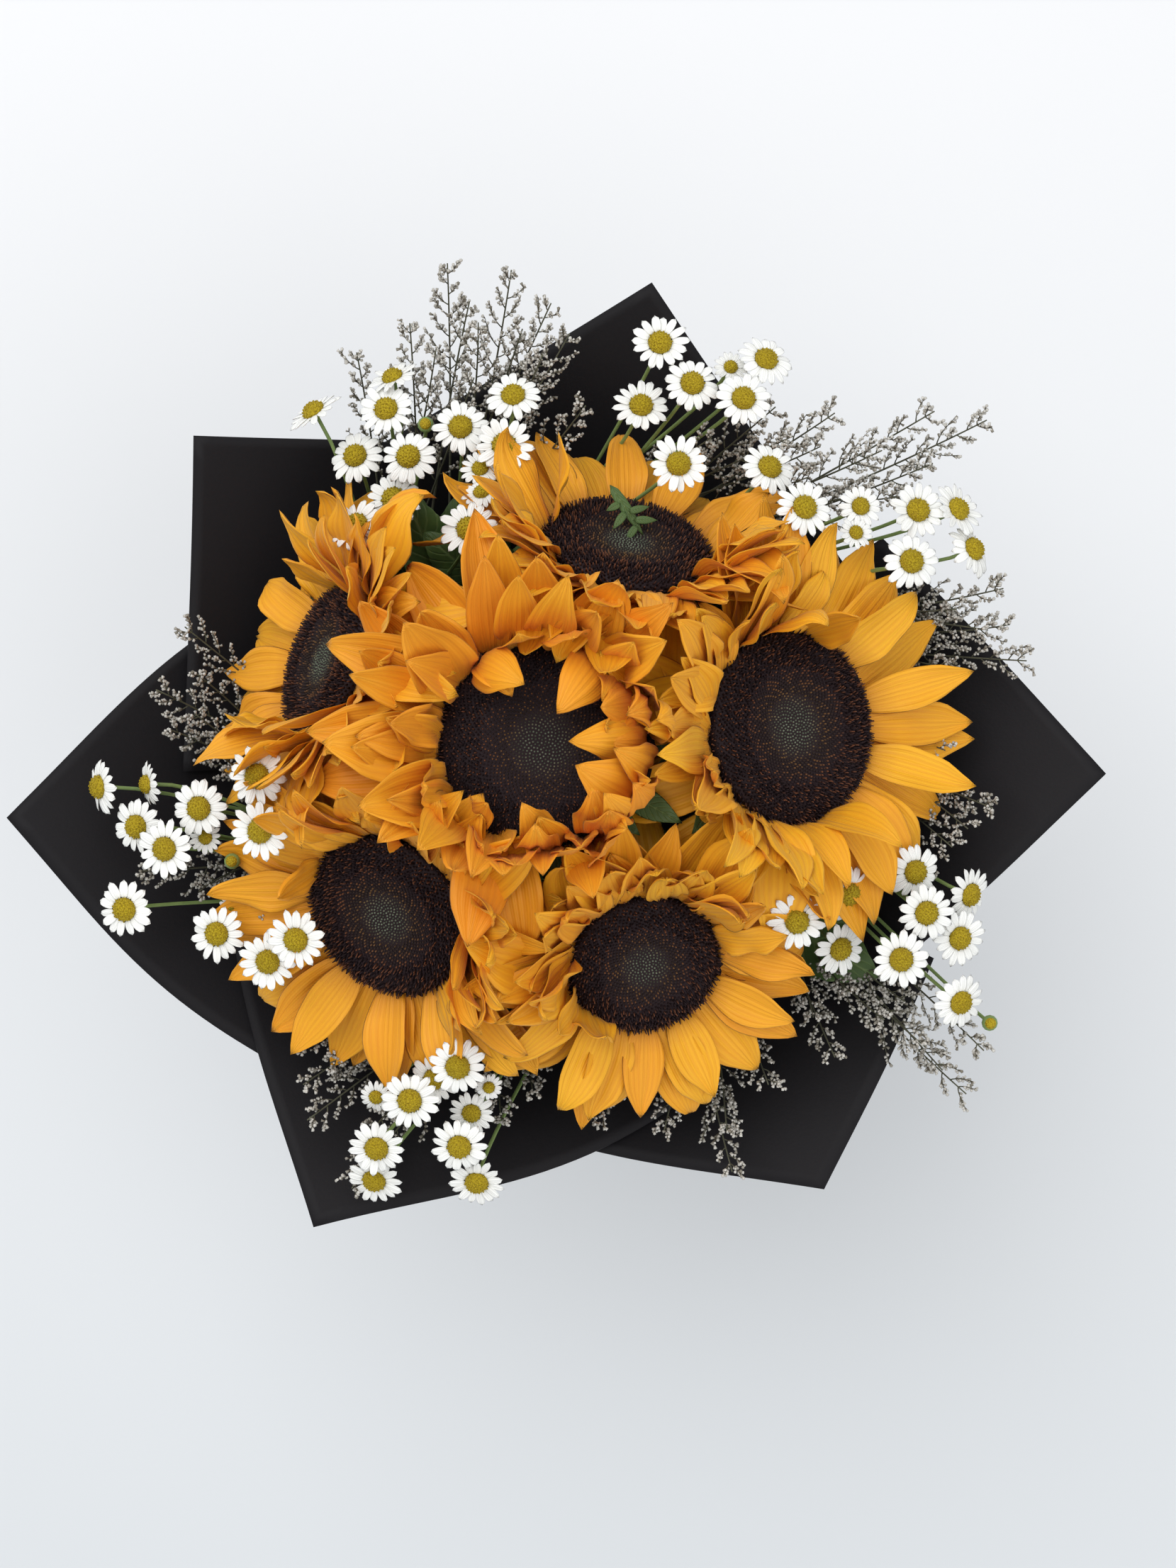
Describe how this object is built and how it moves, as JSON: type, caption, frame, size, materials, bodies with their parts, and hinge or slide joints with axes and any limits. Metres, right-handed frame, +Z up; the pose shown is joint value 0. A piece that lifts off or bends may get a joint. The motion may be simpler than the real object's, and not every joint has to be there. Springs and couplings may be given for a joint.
{
  "type": "bunch of sunflowers",
  "caption": "Hand-tied bunch of sunflowers with chamomile and sea lavender, wrapped in pointed sheets of black paper, standing on its cut stems.",
  "frame": {"origin": "on the surface the cut stems stand on, under the middle of the bunch as seen from above", "axes": "+Z up through the flowers; +X towards the right-hand paper corner, along the widest extent; +Y the top of the bunch as seen from above"},
  "size_m": [0.4244, 0.3684, 0.404],
  "materials": {
    "petals": "satin",
    "disc": "matte",
    "stem": "satin",
    "chamomile": "matte",
    "lavender": "matte",
    "paper": "matte",
    "ribbon": "satin",
    "twine": "matte"
  },
  "bodies": {
    "root": {"sunflower_centre_petals": "petals", "sunflower_centre_disc": "disc", "sunflower_centre_stem": "stem", "sunflower_right_petals": "petals", "sunflower_right_disc": "disc", "sunflower_right_stem": "stem", "sunflower_top_petals": "petals", "sunflower_top_disc": "disc", "sunflower_top_stem": "stem", "sunflower_lower_left_petals": "petals", "sunflower_lower_left_disc": "disc", "sunflower_lower_left_stem": "stem", "sunflower_bottom_petals": "petals", "sunflower_bottom_disc": "disc", "sunflower_bottom_stem": "stem", "sunflower_left_petals": "petals", "sunflower_left_disc": "disc", "sunflower_left_stem": "stem", "chamomile_upper_left": "chamomile", "chamomile_top_left": "chamomile", "chamomile_top": "chamomile", "chamomile_right_top": "chamomile", "chamomile_right_low": "chamomile", "chamomile_lower_right": "chamomile", "chamomile_bottom": "chamomile", "chamomile_left": "chamomile", "chamomile_lower_left": "chamomile", "lavender_top_left": "lavender", "lavender_upper_left": "lavender", "lavender_top_right": "lavender", "lavender_right_top": "lavender", "lavender_right": "lavender", "lavender_right_low": "lavender", "lavender_lower_right": "lavender", "lavender_bottom": "lavender", "lavender_lower_left": "lavender", "lavender_left": "lavender", "paper_right": "paper", "paper_upper_left": "paper", "paper_lower_left": "paper", "paper_top": "paper", "paper_left": "paper", "paper_lower_right": "paper", "twine_binding": "twine", "ribbon_band": "ribbon"}
  },
  "joints": []
}
